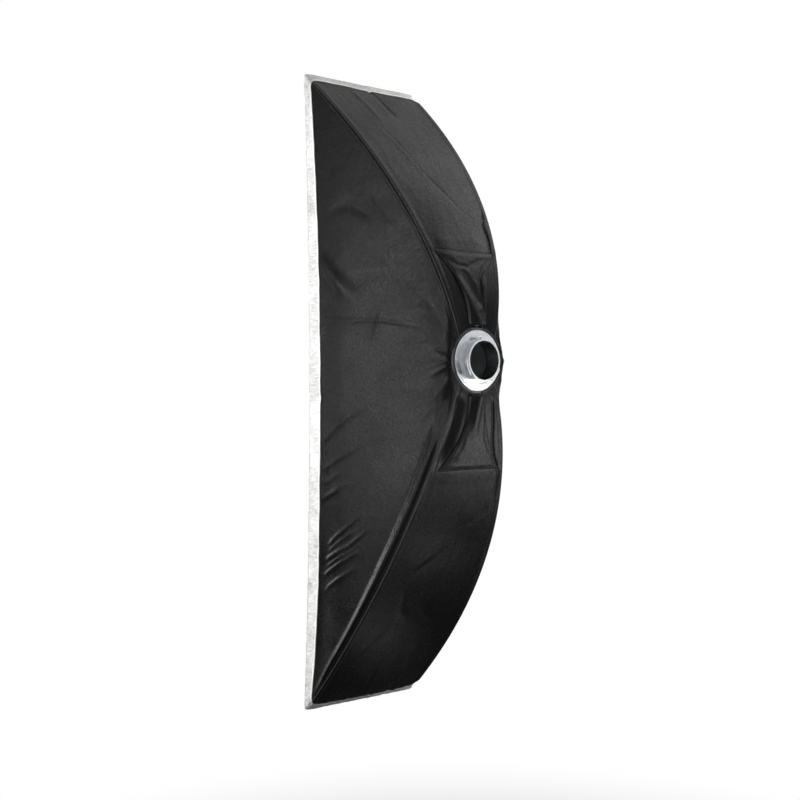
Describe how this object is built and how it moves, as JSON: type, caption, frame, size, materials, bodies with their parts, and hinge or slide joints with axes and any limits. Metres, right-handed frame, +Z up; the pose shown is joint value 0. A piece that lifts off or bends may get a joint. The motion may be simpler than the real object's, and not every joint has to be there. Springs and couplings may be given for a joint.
{
  "type": "studio softbox",
  "caption": "Upright strip softbox: black cloth shell on sprung rods, pale rim, turning speed ring with a bayonet, access flaps, inner baffle and pull-off front diffuser.",
  "frame": {"origin": "centre of the bayonet's seat, on the lamp axis", "axes": "+Y along the lamp axis towards the lamp, -Y to the lit front, +Z up along the strip, +X to the side seen in the picture"},
  "size_m": [0.3514, 0.4755, 1.6012],
  "materials": {
    "bright_metal": "satin",
    "black_metal": "satin",
    "screw_steel": "satin",
    "shoe_brass": "satin",
    "washer_plastic": "matte",
    "rod_fibre": "satin",
    "tip_rubber": "matte",
    "trim_cloth": "matte",
    "shell_cloth": "satin",
    "rim_cloth": "matte",
    "diffuser_cloth": "matte"
  },
  "bodies": {
    "mount_insert": {"bayonet_insert": "bright_metal", "retaining_ring": "black_metal", "retaining_screws": "screw_steel"},
    "box": {"rod_socket_upper_right": "bright_metal", "rod_socket_lower_right": "bright_metal", "rod_socket_upper_left": "bright_metal", "rod_socket_lower_left": "bright_metal", "rod_ferrule_upper_right": "bright_metal", "rod_ferrule_lower_right": "bright_metal", "rod_ferrule_upper_left": "bright_metal", "rod_ferrule_lower_left": "bright_metal", "speed_ring": "black_metal", "socket_screws": "screw_steel", "friction_washer": "washer_plastic", "rod_upper_right": "rod_fibre", "rod_lower_right": "rod_fibre", "rod_upper_left": "rod_fibre", "rod_lower_left": "rod_fibre", "rod_tip_upper_right": "tip_rubber", "rod_tip_lower_right": "tip_rubber", "rod_tip_upper_left": "tip_rubber", "rod_tip_lower_left": "tip_rubber", "corner_pocket_upper_right": "trim_cloth", "corner_pocket_lower_right": "trim_cloth", "corner_pocket_upper_left": "trim_cloth", "corner_pocket_lower_left": "trim_cloth", "seam_piping_upper_right": "trim_cloth", "seam_piping_lower_right": "trim_cloth", "seam_piping_upper_left": "trim_cloth", "seam_piping_lower_left": "trim_cloth", "rear_cuff": "trim_cloth", "hook_tape": "trim_cloth", "baffle_straps": "trim_cloth", "upper_flap_patches": "trim_cloth", "lower_flap_patches": "trim_cloth", "side_panel_right": "shell_cloth", "side_panel_left": "shell_cloth", "top_panel": "shell_cloth", "bottom_panel": "shell_cloth", "rim_lip": "shell_cloth", "rim_band_right": "rim_cloth", "rim_band_left": "rim_cloth", "rim_band_top": "rim_cloth", "rim_band_bottom": "rim_cloth", "inner_baffle": "diffuser_cloth"},
    "diffuser": {"front_diffuser": "diffuser_cloth", "loop_tape": "diffuser_cloth"},
    "upper_flap": {"upper_flap": "shell_cloth"},
    "lower_flap": {"lower_flap": "shell_cloth"},
    "lock_shoe": {"lock_shoe": "shoe_brass"},
    "lock_screw": {"lock_screw": "black_metal"}
  },
  "joints": [
    {"name": "box_turn", "type": "hinge", "parent": "mount_insert", "child": "box", "pos_m": [0, 0, 0], "axis": [0, 1, 0], "continuous": true},
    {"name": "diffuser_off", "type": "slide", "parent": "box", "child": "diffuser", "axis": [0, -1, 0], "range_m": [0, 0.12]},
    {"name": "upper_flap_open", "type": "hinge", "parent": "box", "child": "upper_flap", "pos_m": [0, -0.04338, 0.255], "axis": [1, 0, 0], "range_deg": [0, 75]},
    {"name": "lower_flap_open", "type": "hinge", "parent": "box", "child": "lower_flap", "pos_m": [0, -0.02957, -0.255], "axis": [-1, 0, 0], "range_deg": [0, 75]},
    {"name": "lock_shoe_slide", "type": "slide", "parent": "box", "child": "lock_shoe", "axis": [0, 0, 1], "range_m": [0, 0.0015]},
    {"name": "lock_screw_turn", "type": "hinge", "parent": "lock_shoe", "child": "lock_screw", "pos_m": [0, -0.011, 0.07], "axis": [0, 0, 1], "range_deg": [0, 540]}
  ],
  "couplings": [
    {"joint": "lock_screw_turn", "follows": "lock_shoe_slide", "rad_per_m": 6283.2}
  ]
}
